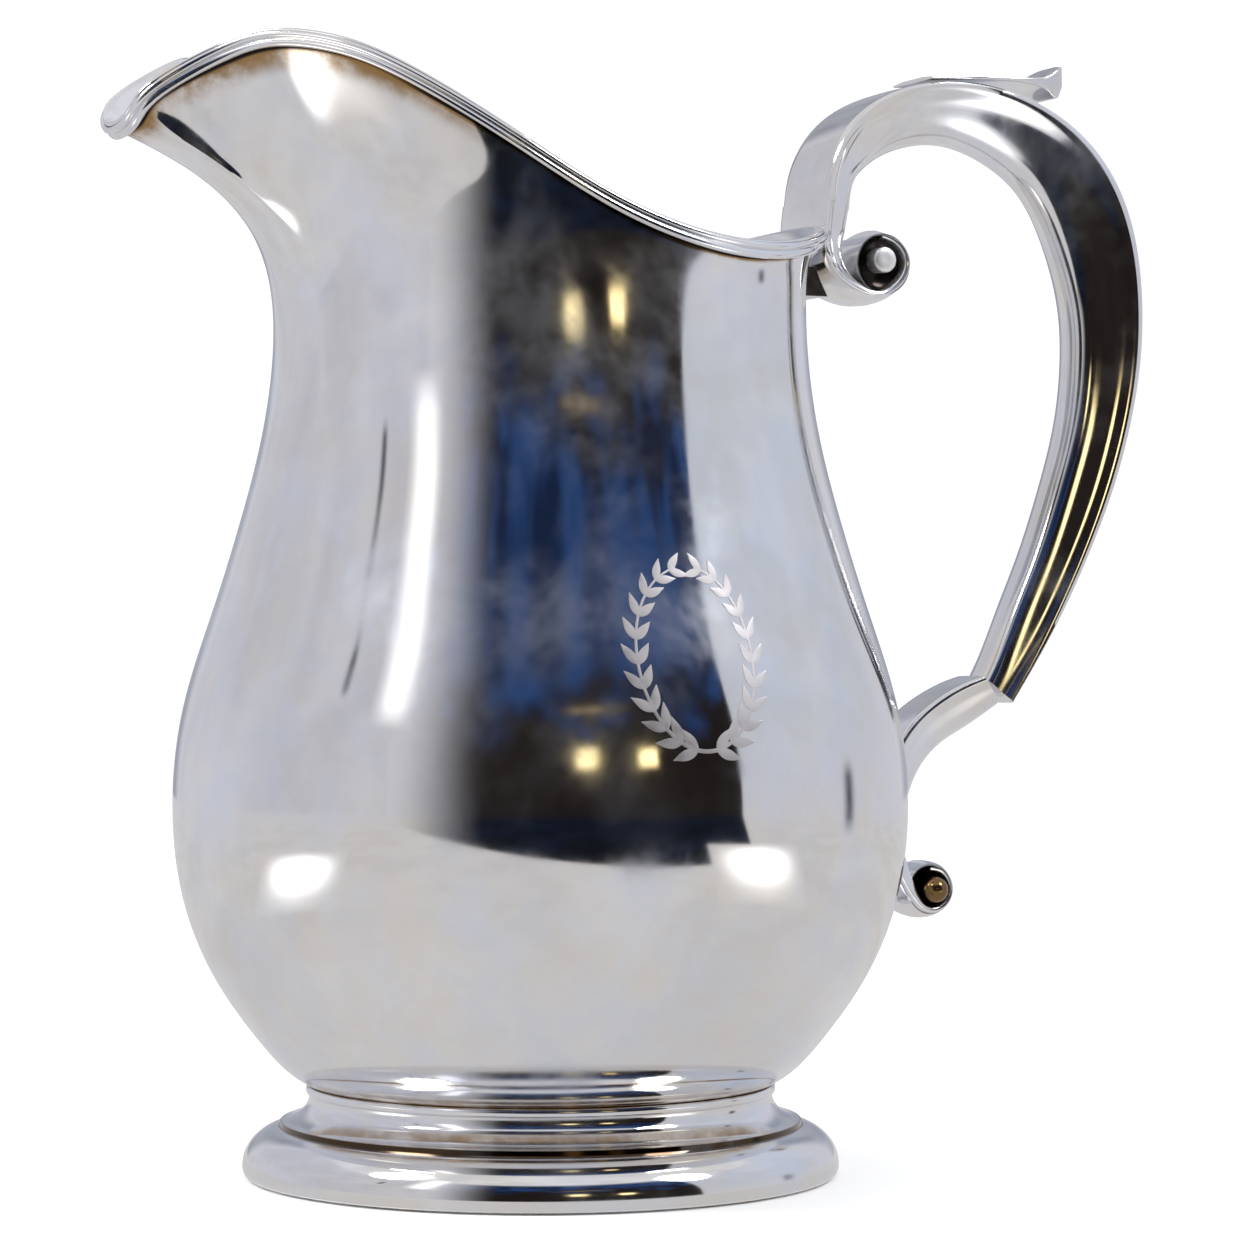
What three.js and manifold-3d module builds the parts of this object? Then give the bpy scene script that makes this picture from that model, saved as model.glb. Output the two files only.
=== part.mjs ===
// Silver water pitcher: a baluster body on a spun foot, a drawn-out pouring lip with an
// applied wire around the mouth, and a hollow C-scroll handle that ends in two volutes.
// Millimetres, +Z up, spout towards -X, handle towards +X. The origin is on the table,
// under the middle of the overall length. Inside the group, X and Y are measured from the
// axis of the body.

import * as THREE from 'three';
import { LoftGeometry } from 'three/addons/geometries/LoftGeometry.js';
import { mergeVertices } from 'three/addons/utils/BufferGeometryUtils.js';
import Module from 'manifold-3d';

const wasm = await Module();
wasm.setup();

// ---- driving dimensions ----------------------------------------------------------------

const SHEET = 0.9;             // thickness of the body
const HANDLE_SHEET = 0.9;      // thickness of the hollow handle's two halves
const SOLDER_GAP = 0.3;        // clearance between two soldered pieces

const NECK_RADIUS = 53.3;      // outside radius of the neck
const NECK_HEIGHT = 162;       // where the round neck ends and the lip begins to form
const BODY_START = 18.4;       // where the body rises out of its collar

const WIRE_HEIGHT = 2.8;       // the applied wire around the mouth
const WIRE_THICKNESS = 1.7;

const AROUND = 56;             // facets around the body
const FOOT_AROUND = 48;        // facets around the foot

// ---- materials -------------------------------------------------------------------------

const polishedSilver = new THREE.MeshStandardMaterial({ color: 0xd9d8d4, metalness: 1, roughness: 0.16 });
const castSilver = new THREE.MeshStandardMaterial({ color: 0xcfccc5, metalness: 1, roughness: 0.24 });

// ---- helpers ---------------------------------------------------------------------------

// Merges shared corners, drops the triangles that collapsed onto a line and turns the
// surface so that its faces point out.
function closedBody(geometry) {
  const plain = new THREE.BufferGeometry().copy(geometry);
  plain.deleteAttribute('normal');
  plain.deleteAttribute('uv');
  const merged = mergeVertices(plain, 1e-3);
  const place = merged.getAttribute('position');
  const corner = (index) => new THREE.Vector3().fromBufferAttribute(place, index);
  const source = merged.getIndex().array;
  const kept = [];
  let volume = 0;
  for (let i = 0; i < source.length; i += 3) {
    const [a, b, c] = [source[i], source[i + 1], source[i + 2]];
    if (a === b || b === c || c === a) continue;
    kept.push([a, b, c]);
    volume += corner(a).dot(corner(b).cross(corner(c)));
  }
  const facing = volume < 0 ? kept.map(([a, b, c]) => [a, c, b]) : kept;
  merged.setIndex(facing.flat());
  return merged;
}

function solidFrom(geometry) {
  const body = closedBody(geometry);
  return new wasm.Manifold(new wasm.Mesh({
    numProp: 3,
    vertProperties: Float32Array.from(body.getAttribute('position').array),
    triVerts: Uint32Array.from(body.getIndex().array),
  }));
}

function joined(...geometries) {
  const solid = geometries.map(solidFrom).reduce((whole, next) => whole.add(next));
  const mesh = solid.getMesh();
  const geometry = new THREE.BufferGeometry();
  geometry.setAttribute('position', new THREE.Float32BufferAttribute(mesh.vertProperties, 3));
  geometry.setIndex(Array.from(mesh.triVerts));
  return geometry;
}

// A loft closed at both ends. Its sections may run either way around: they are turned so
// that they run anticlockwise when seen from the far end.
function capped(sections) {
  const [first, second] = sections;
  const travel = second[0].clone().sub(first[0]);
  const facing = new THREE.Vector3();
  first.forEach((point, k) => facing.add(point.clone().cross(first[(k + 1) % first.length])));
  const facingOut = facing.dot(travel) > 0 ? sections : sections.map((section) => [...section].reverse());
  return new LoftGeometry(facingOut, { capStart: true, capEnd: true });
}

// Turns a closed outline of [radius, height] around +Z.
function turned(outline) {
  const points = [...outline, outline[0]].map(([radius, height]) => new THREE.Vector2(radius, height));
  return new THREE.LatheGeometry(points, FOOT_AROUND).rotateX(Math.PI / 2);
}

function catmullRom(before, from, to, after, t) {
  const straight = to - before;
  const bend = 2 * before - 5 * from + 4 * to - after;
  const twist = 3 * from - before - 3 * to + after;
  return from + 0.5 * t * (straight + t * (bend + t * twist));
}

// A smooth blend of rows of numbers. rowAt gives the row at any whole index.
function blendRows(rowAt, position) {
  const start = Math.floor(position);
  const [before, from, to, after] = [-1, 0, 1, 2].map((step) => rowAt(start + step));
  return from.map((value, k) => catmullRom(before[k], value, to[k], after[k], position - start));
}

// The same for an open list: beyond its ends the rows carry straight on.
function blendList(rows, position) {
  const last = rows.length - 1;
  const mirrored = (end, inner) => rows[end].map((value, k) => 2 * value - rows[inner][k]);
  const rowAt = (index) => {
    if (index < 0) return mirrored(0, 1);
    if (index > last) return mirrored(last, last - 1);
    return rows[index];
  };
  return blendRows(rowAt, Math.min(position, last - 1e-9));
}

function blendedList(rows, count) {
  return Array.from({ length: count + 1 }, (_, i) => blendList(rows, (i / count) * (rows.length - 1)));
}

// ---- the mouth and its pouring lip -----------------------------------------------------

// The edge of the wall from the tip of the spout along the +Y side to the back. Each row:
// x, y and z of the edge; how far around from the spout its wall leaves the neck, in
// degrees; how far the wall leans out at the edge, in degrees from upright; and the share
// of the height over which the wall stays upright.
const RIM = [
  [-89.8, 0, 204.0, 0, 66, 0.56],
  [-89.2, 6.2, 205.4, 7, 62, 0.56],
  [-87.2, 10.0, 209.4, 13, 54, 0.55],
  [-80.6, 12.0, 214.4, 18, 44, 0.54],
  [-73.8, 15.0, 218.2, 23, 36, 0.54],
  [-66.6, 21.2, 220.6, 29.5, 29, 0.54],
  [-57.8, 31.0, 219.0, 38, 24, 0.55],
  [-47.6, 40.6, 213.5, 47.5, 19, 0.56],
  [-31.0, 49.2, 202.4, 62, 14, 0.58],
  [-11.6, 53.2, 190.6, 79, 10, 0.62],
  [7.0, 53.8, 183.9, 97.5, 12, 0.68],
  [24.0, 50.2, 182.3, 115.5, 22, 0.72],
  [39.4, 40.6, 184.6, 134, 32, 0.74],
  [51.2, 23.9, 188.4, 155, 38, 0.75],
  [56.5, 0, 190.2, 180, 40, 0.75],
];
const RIM_LOOP = 2 * (RIM.length - 1);

// The row at any whole place around the mouth, the -Y side being the +Y side's mirror image.
function rimRow(index) {
  const turns = Math.floor(index / RIM_LOOP);
  const step = index - turns * RIM_LOOP;
  const onFarSide = step < RIM.length;
  const [x, y, z, around, lean, upright] = RIM[onFarSide ? step : RIM_LOOP - step];
  if (onFarSide) return [x, y, z, around + 360 * turns, lean, upright];
  return [x, -y, z, 360 - around + 360 * turns, lean, upright];
}

// A horizontal direction, given how far around from the spout it points.
function heading(around) {
  const angle = THREE.MathUtils.degToRad(180 - around);
  return new THREE.Vector3(Math.cos(angle), Math.sin(angle), 0);
}

// The horizontal direction at right angles to the edge, away from the mouth.
function awayFromMouth(place) {
  const [before, after] = [-0.05, 0.05].map((step) => blendRows(rimRow, place + step));
  return new THREE.Vector3(before[1] - after[1], after[0] - before[0], 0).normalize();
}

// The outside of the wall from the neck up to the edge, at one place around the mouth.
function wallCurve(place) {
  const [x, y, z, around, lean, upright] = blendRows(rimRow, place);
  const edge = new THREE.Vector3(x, y, z);
  const outward = heading(around);
  const neck = outward.clone().multiplyScalar(NECK_RADIUS).setZ(NECK_HEIGHT);
  const across = edge.clone().sub(neck).setZ(0);
  const overhang = across.length();
  const leanAngle = THREE.MathUtils.degToRad(lean);
  const rising = across.addScaledVector(outward, 2).normalize().add(awayFromMouth(place));
  rising.normalize().multiplyScalar(Math.sin(leanAngle)).setZ(Math.cos(leanAngle));
  const reach = Math.min(edge.distanceTo(neck) / 3, overhang / Math.sin(leanAngle));
  const turnPoint = neck.clone().setZ(NECK_HEIGHT + upright * (z - NECK_HEIGHT));
  const leanPoint = edge.clone().addScaledVector(rising, -reach);
  return new THREE.CubicBezierCurve3(neck, turnPoint, leanPoint, edge);
}

// A point of the wall's outside, a distance below the edge, measured along the wall.
function belowEdge(place, distance) {
  const curve = wallCurve(place);
  return curve.getPointAt(1 - distance / curve.getLength());
}

// The same point moved out, at right angles to the wall.
function offWall(place, distance, out) {
  const point = belowEdge(place, distance);
  const around = belowEdge(place + 0.02, distance).sub(belowEdge(place - 0.02, distance));
  const down = belowEdge(place, distance + 0.4).sub(belowEdge(place, distance));
  return point.addScaledVector(around.cross(down).normalize(), out);
}

// Places around the mouth, spread evenly by both the angle on the neck and the length of
// the edge, because the edge crowds together at the spout.
function placesAround(count) {
  const fine = 20 * RIM_LOOP;
  const measures = [0];
  for (let i = 1; i <= fine; i += 1) {
    const [from, to] = [i - 1, i].map((step) => blendRows(rimRow, (step / fine) * RIM_LOOP));
    const length = Math.hypot(to[0] - from[0], to[1] - from[1], to[2] - from[2]);
    measures.push(measures[i - 1] + length + (to[3] - from[3]));
  }
  const whole = measures[fine];
  return Array.from({ length: count }, (_, k) => {
    const wanted = (k / count) * whole;
    const next = measures.findIndex((value) => value > wanted);
    const part = (wanted - measures[next - 1]) / (measures[next] - measures[next - 1]);
    return ((next - 1 + part) / fine) * RIM_LOOP;
  });
}

const PLACES = placesAround(AROUND);

// ---- body ------------------------------------------------------------------------------

// The outside of the body from the collar to the neck: [radius, height].
const BODY_PROFILE = [
  [46.5, BODY_START], [49.6, 20.3], [53.4, 23.8], [57.4, 28.6], [65.0, 39.8], [70.5, 53],
  [73.2, 74], [70.9, 94], [65.4, 112], [60, 129.5], [56.0, 145], [NECK_RADIUS, NECK_HEIGHT],
];
const BODY_ROWS = 13;

// The body's own bottom, which bulges down inside the foot.
const BOTTOM_PROFILE = [[0, 13.2], [24, 13.8], [38, 15.2], [44.6, 17.4]];

// Distances below the edge of the rows that the wire lies on, and shares of the rest of
// the wall for the rows below it.
const WIRE_ROWS = [0, WIRE_HEIGHT / 2, WIRE_HEIGHT];
const WALL_SHARES = [0.14, 0.3, 0.5, 0.74];

function roundRow([radius, height]) {
  return PLACES.map((place) => heading(blendRows(rimRow, place)[3]).multiplyScalar(radius).setZ(height));
}

function wallRow(distanceOf) {
  return PLACES.map((place) => belowEdge(place, distanceOf(wallCurve(place).getLength())));
}

function bodyOutside() {
  const rows = [...BOTTOM_PROFILE, ...blendedList(BODY_PROFILE, BODY_ROWS)].map(roundRow);
  const shareRow = (share) => wallRow((length) => WIRE_HEIGHT + share * (length - WIRE_HEIGHT));
  const upper = [...WIRE_ROWS.map((distance) => wallRow(() => distance)), ...WALL_SHARES.map(shareRow)];
  return [...rows, ...upper.reverse()];
}

// Rows of points moved inwards, at right angles to the surface that they span.
function inside(rows, thickness) {
  const lastRow = rows.length - 1;
  return rows.map((row, r) => row.map((point, k) => {
    if (r === 0) return point.clone().setZ(point.z + thickness);
    const along = rows[Math.min(r + 1, lastRow)][k].clone().sub(rows[r - 1][k]);
    const next = row[(k + 1) % row.length].clone();
    const around = next.sub(row[(k - 1 + row.length) % row.length]);
    return point.clone().addScaledVector(along.cross(around).normalize(), -thickness);
  }));
}

function bodyShell() {
  const outside = bodyOutside();
  return new LoftGeometry([...outside, ...inside(outside, SHEET).reverse()]);
}

// ---- rim wire --------------------------------------------------------------------------

// Section of the wire: [distance below the edge, distance out from the wall].
const WIRE_SECTION = [
  [WIRE_HEIGHT, SOLDER_GAP], [WIRE_HEIGHT / 2, SOLDER_GAP], [0, SOLDER_GAP],
  [0, SOLDER_GAP + 0.5 * WIRE_THICKNESS], [0.25 * WIRE_HEIGHT, SOLDER_GAP + 0.93 * WIRE_THICKNESS],
  [0.6 * WIRE_HEIGHT, SOLDER_GAP + WIRE_THICKNESS], [WIRE_HEIGHT, SOLDER_GAP + 0.55 * WIRE_THICKNESS],
];

function rimWire() {
  const sections = PLACES.map((place) => WIRE_SECTION.map(([below, out]) => offWall(place, below, out)));
  return new LoftGeometry([...sections, sections[0]]);
}

// ---- foot ------------------------------------------------------------------------------

// One turned sheet: the waist, a cove down to a crisp step, and the domed flange.
function footPedestal() {
  return turned([
    [46.2, 16.3], [46.3, 15.2], [47.1, 13.6], [48.7, 12.2], [50.5, 11.3], [51.8, 10.9],
    [52.0, 10.1], [54.6, 9.4], [57.2, 7.6], [58.9, 5.0], [59.4, 2.8], [59.2, 1.1], [58.8, 0.5],
    [58.1, 0.5], [58.4, 1.4], [58.5, 2.8], [58.0, 4.6], [56.5, 6.9], [54.2, 8.5],
    [51.4, 9.3], [50.4, 10.2], [48.0, 11.5], [46.3, 13.0], [45.4, 15.0], [45.3, 16.3],
  ]);
}

// The ring that closes the joint between the foot and the body.
function footCollar() {
  return turned([[45.0, 16.6], [46.3, 16.6], [46.7, 16.9], [46.7, 17.5], [46.3, 17.8], [45.0, 17.2]]);
}

// The heavy wire under the flange that the pitcher stands on.
function footBaseRing() {
  return turned([[54.2, 0], [57.2, 0], [57.7, 0.5], [57.7, 1.7], [57.2, 2.2], [54.2, 2.2]]);
}

// ---- straps: the handle and its scrolls ------------------------------------------------

// Half sections of the straps, from the middle of the outer face to the middle of the inner
// face: [depth, 1 at the outer face and -1 at the inner one; share of the half width]. A
// handle is broad outside and narrows to a ridged inside; a volute has upright sides.
const HANDLE_SECTION = [[1, 0], [0.97, 0.8], [0.88, 1], [0.1, 0.87], [-0.6, 0.74], [-0.86, 0.42], [-1, 0]];
const VOLUTE_SECTION = [[1, 0], [0.96, 0.55], [0.7, 1], [0.1, 1], [-0.4, 1], [-0.85, 0.68], [-1, 0]];

// One row of a strap: outer x and z, inner x and z, and the half widths of both faces.
function strapPoint([outerX, outerZ, innerX, innerZ, outerHalf, innerHalf], depth, share, trim) {
  const thickness = Math.hypot(outerX - innerX, outerZ - innerZ);
  const trimmedDepth = depth * (1 - (2 * trim) / thickness);
  const outerShare = (1 + trimmedDepth) / 2;
  const halfWidth = THREE.MathUtils.lerp(innerHalf, outerHalf, outerShare) - trim;
  return new THREE.Vector3(
    THREE.MathUtils.lerp(innerX, outerX, outerShare),
    share * halfWidth,
    THREE.MathUtils.lerp(innerZ, outerZ, outerShare),
  );
}

// A cast strap whose section turns from the handle's into a volute's. turning gives the
// shares of the strap's length between which it changes.
function strap(rows, steps, turning) {
  const halfSection = (share) => HANDLE_SECTION.map((corner, i) => {
    const change = THREE.MathUtils.smoothstep(share, ...turning);
    return corner.map((value, k) => THREE.MathUtils.lerp(value, VOLUTE_SECTION[i][k], change));
  });
  const section = (row, place) => {
    const half = halfSection(place / steps);
    const otherHalf = half.slice(1, -1).reverse().map(([depth, share]) => [depth, -share]);
    return [...half, ...otherHalf].map(([depth, share]) => strapPoint(row, depth, share, 0));
  };
  return capped(blendedList(rows, steps).map(section));
}

// One stamped half of a hollow strap, on the side given by the sign of Y.
function strapHalf(rows, steps, side) {
  const skin = (row, trim) => HANDLE_SECTION.map(([depth, share]) => {
    const point = strapPoint(row, depth, share, trim);
    return point.setY(side * Math.max(point.y, SOLDER_GAP / 2));
  });
  const section = (row) => [...skin(row, 0), ...skin(row, HANDLE_SHEET).reverse()];
  return capped(blendedList(rows, steps).map(section));
}

const HANDLE = [
  [60.0, 196.8, 69.0, 195.0, 9.8, 7.6],
  [61.5, 204.6, 70.0, 200.4, 9.8, 7.6],
  [65.8, 212.2, 72.8, 203.8, 9.7, 7.6],
  [74.8, 219.0, 78.6, 207.6, 9.5, 6.8],
  [86.2, 222.4, 88.0, 210.2, 9.3, 6.0],
  [98.5, 222.8, 97.0, 209.4, 9.0, 5.7],
  [111.0, 220.0, 105.4, 206.0, 8.8, 5.8],
  [122.2, 214.2, 113.0, 200.0, 8.6, 6.3],
  [131.2, 204.8, 118.6, 190.2, 8.5, 7.0],
  [136.8, 191.4, 122.2, 179.2, 8.4, 7.3],
  [138.5, 174.5, 123.3, 168.0, 8.3, 7.2],
  [136.9, 158.5, 122.0, 154.2, 8.1, 7.0],
  [132.5, 141.8, 118.1, 139.9, 7.8, 6.8],
  [126.2, 126.4, 112.8, 125.2, 7.5, 6.6],
  [118.6, 111.6, 107.1, 112.3, 7.2, 6.3],
  [111.0, 99.4, 102.8, 102.4, 6.9, 6.0],
  [106.7, 93.1, 100.9, 98.8, 6.8, 5.9],
];
const HANDLE_STEPS = 36;

// The cast strap below the root of the handle, rolled into the upper volute.
const UPPER_SCROLL = [
  [59.8, 196.3, 68.9, 194.6, 9.8, 7.6],
  [59.2, 190.6, 67.6, 189.4, 9.8, 7.8],
  [59.8, 184.8, 66.6, 184.9, 9.6, 8.0],
  [62.6, 179.6, 67.9, 181.2, 9.4, 8.0],
  [67.6, 176.6, 70.6, 179.2, 9.2, 8.0],
  [74.2, 176.0, 74.0, 178.8, 9.0, 8.0],
  [80.0, 179.0, 77.4, 180.8, 8.8, 8.0],
  [82.2, 184.6, 79.4, 184.6, 8.6, 8.0],
  [79.6, 189.8, 77.4, 188.0, 8.4, 8.0],
  [74.6, 191.6, 74.0, 189.4, 8.2, 8.0],
];
const UPPER_CORE = { x: 73.6, z: 184.2, radius: 6.2, halfWidth: 7.2 };

// The cast bracket below the grip, rolled into the lower volute.
const LOWER_SCROLL = [
  [99.9, 98.4, 105.2, 92.1, 5.4, 5.0],
  [95.2, 97.2, 98.8, 88.4, 5.6, 5.2],
  [87.6, 93.2, 92.2, 84.8, 5.8, 5.4],
  [80.6, 86.8, 86.8, 79.8, 6.0, 5.6],
  [76.6, 78.6, 83.8, 74.2, 6.2, 5.8],
  [75.2, 70.2, 82.2, 68.4, 6.4, 6.0],
  [75.6, 61.6, 82.0, 62.2, 6.6, 6.2],
  [78.8, 53.6, 83.2, 56.2, 6.6, 6.2],
  [82.2, 49.6, 84.8, 52.2, 6.6, 6.2],
  [87.6, 48.2, 87.4, 50.8, 6.4, 6.2],
  [92.2, 50.6, 90.4, 52.2, 6.2, 6.0],
  [93.6, 55.2, 91.2, 55.0, 6.0, 5.8],
  [91.2, 59.4, 89.4, 57.6, 5.8, 5.6],
  [87.2, 60.3, 87.0, 58.2, 5.6, 5.4],
];
const LOWER_CORE = { x: 87.4, z: 54.4, radius: 4.2, halfWidth: 4.8 };
const SCROLL_STEPS = 26;

function scroll(rows, core, turning) {
  const hub = new THREE.CylinderGeometry(core.radius, core.radius, 2 * core.halfWidth, 20);
  hub.translate(core.x, 0, core.z);
  return joined(strap(rows, SCROLL_STEPS, turning), hub);
}

// ---- bosses, thumb rest and pads -------------------------------------------------------

const UPPER_BOSS_RADIUS = 2.6;
const UPPER_BOSS_HEIGHT = 2.0;
const LOWER_BOSS_RADIUS = 2.7;

// A flat button on the upper volute.
function upperBoss() {
  return new THREE.CylinderGeometry(0.92 * UPPER_BOSS_RADIUS, UPPER_BOSS_RADIUS, UPPER_BOSS_HEIGHT, 20);
}

// A ball in the eye of the lower volute.
function lowerBoss() {
  return new THREE.SphereGeometry(LOWER_BOSS_RADIUS, 16, 10);
}

// The leaf that carries the top of the handle straight on and turns up at its tip. Each
// row: x, height of the top, height of the underside, half width.
const THUMB_REST = [
  [86.0, 223.9, 223.1, 8.2], [92.0, 224.6, 223.5, 8.2], [100.0, 225.0, 223.7, 8.0],
  [107.0, 225.2, 223.8, 7.6], [112.5, 225.5, 223.3, 7.0], [116.0, 226.4, 222.0, 6.4],
  [118.2, 227.8, 221.4, 6.0], [119.4, 228.3, 223.6, 5.4],
];
const THUMB_REST_STEPS = 14;

function thumbRest() {
  const section = ([x, top, under, half]) => [
    [-half, under], [-half, top - 0.4], [-0.5 * half, top], [0.5 * half, top], [half, top - 0.4], [half, under],
  ].map(([y, z]) => new THREE.Vector3(x, y, z));
  return capped(blendedList(THUMB_REST, THUMB_REST_STEPS).map(section));
}

// A pad that fills the space between the round wall and the back of a scroll. Each row:
// height, radius on the body's side, and the reach of its outer face.
function pad(rows, halfWidth) {
  const shares = [-1, -0.5, 0, 0.5, 1];
  const section = ([height, radius, reach]) => {
    const bodySide = shares.map((share) => {
      const y = share * halfWidth;
      return new THREE.Vector3(Math.sqrt(radius ** 2 - y ** 2), y, height);
    });
    const scrollSide = [new THREE.Vector3(reach, halfWidth, height), new THREE.Vector3(reach, -halfWidth, height)];
    return [...bodySide, ...scrollSide];
  };
  return capped(rows.map(section));
}

function upperPad() {
  const wallSide = NECK_RADIUS + 2 * SOLDER_GAP;
  return pad([[177.0, wallSide, 62.2], [180.0, wallSide, 60.6], [183.0, wallSide, 59.3]], 6);
}

function lowerPad() {
  return pad([[64.5, 73.2, 75.2], [70.0, 73.5, 74.8], [76.0, 73.5, 75.6]], 5);
}

// ---- assembly --------------------------------------------------------------------------

const pitcher = new THREE.Group();

function add(name, geometry, material, place = [0, 0, 0]) {
  const mesh = new THREE.Mesh(closedBody(geometry), material);
  mesh.name = name;
  mesh.position.set(...place);
  pitcher.add(mesh);
  return mesh;
}

add('body_shell', bodyShell(), polishedSilver);
add('rim_wire', rimWire(), polishedSilver);
add('foot_collar', footCollar(), polishedSilver);
add('foot_pedestal', footPedestal(), polishedSilver);
add('foot_base_ring', footBaseRing(), polishedSilver);
add('upper_scroll', scroll(UPPER_SCROLL, UPPER_CORE, [0.15, 0.45]), castSilver);
add('lower_scroll', scroll(LOWER_SCROLL, LOWER_CORE, [0.5, 0.75]), castSilver);
add('thumb_rest', thumbRest(), castSilver);
add('upper_pad', upperPad(), castSilver);
add('lower_pad', lowerPad(), castSilver);

for (const [side, word] of [[-1, 'right'], [1, 'left']]) {
  add(`handle_shell_${word}`, strapHalf(HANDLE, HANDLE_STEPS, side), polishedSilver);
  const upperOut = UPPER_CORE.halfWidth + SOLDER_GAP + UPPER_BOSS_HEIGHT / 2;
  const button = add(`upper_boss_${word}`, upperBoss(), castSilver, [UPPER_CORE.x + 0.4, side * upperOut, UPPER_CORE.z + 0.6]);
  button.rotation.x = side < 0 ? Math.PI : 0;
  const lowerOut = LOWER_CORE.halfWidth + SOLDER_GAP + LOWER_BOSS_RADIUS;
  add(`lower_boss_${word}`, lowerBoss(), castSilver, [LOWER_CORE.x, side * lowerOut, LOWER_CORE.z]);
}

// Moves the body's axis so that the origin lies under the middle of the overall length.
const extent = new THREE.Box3().setFromObject(pitcher);
pitcher.position.x = -(extent.min.x + extent.max.x) / 2;

export default pitcher;
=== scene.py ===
"""The visible silver water pitcher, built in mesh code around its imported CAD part.

Shapes are worked out in millimetres, with X and Y measured from the axis of the body, +Z up,
the spout towards -X and the handle towards +X. mesh_piece() turns them into metres of the
row frame.
"""

import math

import bmesh
import bpy
import numpy as np
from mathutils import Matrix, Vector, noise


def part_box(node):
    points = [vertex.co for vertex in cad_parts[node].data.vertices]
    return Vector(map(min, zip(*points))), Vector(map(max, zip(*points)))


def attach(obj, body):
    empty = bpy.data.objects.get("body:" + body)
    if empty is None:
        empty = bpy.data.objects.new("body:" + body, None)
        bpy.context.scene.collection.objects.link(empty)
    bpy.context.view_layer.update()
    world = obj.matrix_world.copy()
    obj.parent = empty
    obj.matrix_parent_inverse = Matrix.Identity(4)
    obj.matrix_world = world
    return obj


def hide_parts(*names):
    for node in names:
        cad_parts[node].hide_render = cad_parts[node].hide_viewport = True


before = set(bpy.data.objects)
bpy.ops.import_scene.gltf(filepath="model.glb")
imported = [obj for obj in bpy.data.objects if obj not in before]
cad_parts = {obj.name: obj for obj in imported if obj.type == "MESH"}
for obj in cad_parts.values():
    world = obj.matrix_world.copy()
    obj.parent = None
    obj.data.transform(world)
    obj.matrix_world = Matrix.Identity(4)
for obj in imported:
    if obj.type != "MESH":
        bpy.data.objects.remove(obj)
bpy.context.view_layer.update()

# ---- driving dimensions ----

FOOT_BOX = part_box("foot_base_ring")
AXIS_X = 500 * (FOOT_BOX[0].x + FOOT_BOX[1].x)   # the body's axis in the row frame
UP = np.array([0.0, 0.0, 1.0])

SHEET = 0.9                  # thickness of the body
NECK_RADIUS = 52.9
NECK_HEIGHT = 162.0
WIRE_HEIGHT = 2.8            # the applied wire around the mouth
WAVE_HEIGHT = 0.05           # how far the hand-raised wall strays from a true surface
WAVE_LENGTH = 34.0

AROUND = 288                 # steps around the body
BOTTOM_ROWS = 15
LOWER_ROWS = 84              # rows of the round part of the wall
UPPER_ROWS = 70              # rows of the neck and lip
EDGE_ROWS = 5                # rows over the rounded top edge of the sheet
FOOT_AROUND = 192
HANDLE_STEPS = 190
SCROLL_STEPS = 120
NEAR_AXIS = 1e-3             # the radius at which a turned outline counts as closed
MERGE_DISTANCE = 1e-6        # in metres: nearer points of a mesh become one

# ---- smooth curves ----


def smooth(rows, knots=None):
    """The smooth curve through rows of numbers that lie at knots, as a function of arrays."""
    rows = np.array(rows, float)
    knots = np.arange(len(rows), dtype=float) if knots is None else np.array(knots, float)
    steps = np.diff(knots)
    slopes = np.diff(rows, axis=0) / steps[:, None]
    matrix = np.eye(len(rows))
    changes = np.zeros_like(rows)
    for i in range(1, len(rows) - 1):
        matrix[i, i - 1] = steps[i - 1]
        matrix[i, i] = 2 * (steps[i - 1] + steps[i])
        matrix[i, i + 1] = steps[i]
        changes[i] = 6 * (slopes[i] - slopes[i - 1])
    bends = np.linalg.solve(matrix, changes)

    def at(places):
        places = np.clip(np.atleast_1d(places), knots[0], knots[-1])
        i = np.clip(np.searchsorted(knots, places, side="right") - 1, 0, len(steps) - 1)
        after = ((places - knots[i]) / steps[i])[:, None]
        before = 1 - after
        bulge = (before**3 - before) * bends[i] + (after**3 - after) * bends[i + 1]
        return before * rows[i] + after * rows[i + 1] + bulge * steps[i][:, None] ** 2 / 6

    return at


def lengths_along(points):
    """The length of the line through points, up to each of them."""
    points = np.array(points, float)
    pieces = np.linalg.norm(np.diff(points, axis=0), axis=1)
    return np.concatenate([[0.0], np.cumsum(pieces)])


def smooth_line(rows, count, middle=None):
    """count + 1 rows on the smooth curve through rows, evenly spread along it, or along the
    line through the points of middle, one for each row."""
    knots = lengths_along(rows if middle is None else middle)
    return smooth(rows, knots)(np.linspace(0, knots[-1], count + 1))


def chained(*runs, step=0.5):
    """An outline of smooth runs that meet at crisp corners. Each run ends where the next starts."""
    outline = []
    for run in runs:
        count = max(1, round(lengths_along(run)[-1] / step)) if len(run) > 2 else 1
        outline.extend(smooth_line(run, count)[:-1])
    return np.array(outline)


def softened(outline, radius, steps=4):
    """A closed outline with its corners rounded."""
    outline = np.array(outline, float)
    most = 0.45              # the share of a side that one of its corners may take up
    rounded = []
    for i, corner in enumerate(outline):
        back = outline[i - 1] - corner
        ahead = outline[(i + 1) % len(outline)] - corner
        reach_back = min(radius, most * np.linalg.norm(back))
        reach_ahead = min(radius, most * np.linalg.norm(ahead))
        start = corner + back / np.linalg.norm(back) * reach_back
        end = corner + ahead / np.linalg.norm(ahead) * reach_ahead
        for t in np.linspace(0, 1, steps + 1):
            rounded.append((1 - t) ** 2 * start + 2 * t * (1 - t) * corner + t**2 * end)
    return np.array(rounded)


def eased(value):
    """0 below 0, 1 above 1, and a soft change between."""
    value = np.clip(value, 0.0, 1.0)
    return value * value * (3 - 2 * value)


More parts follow.
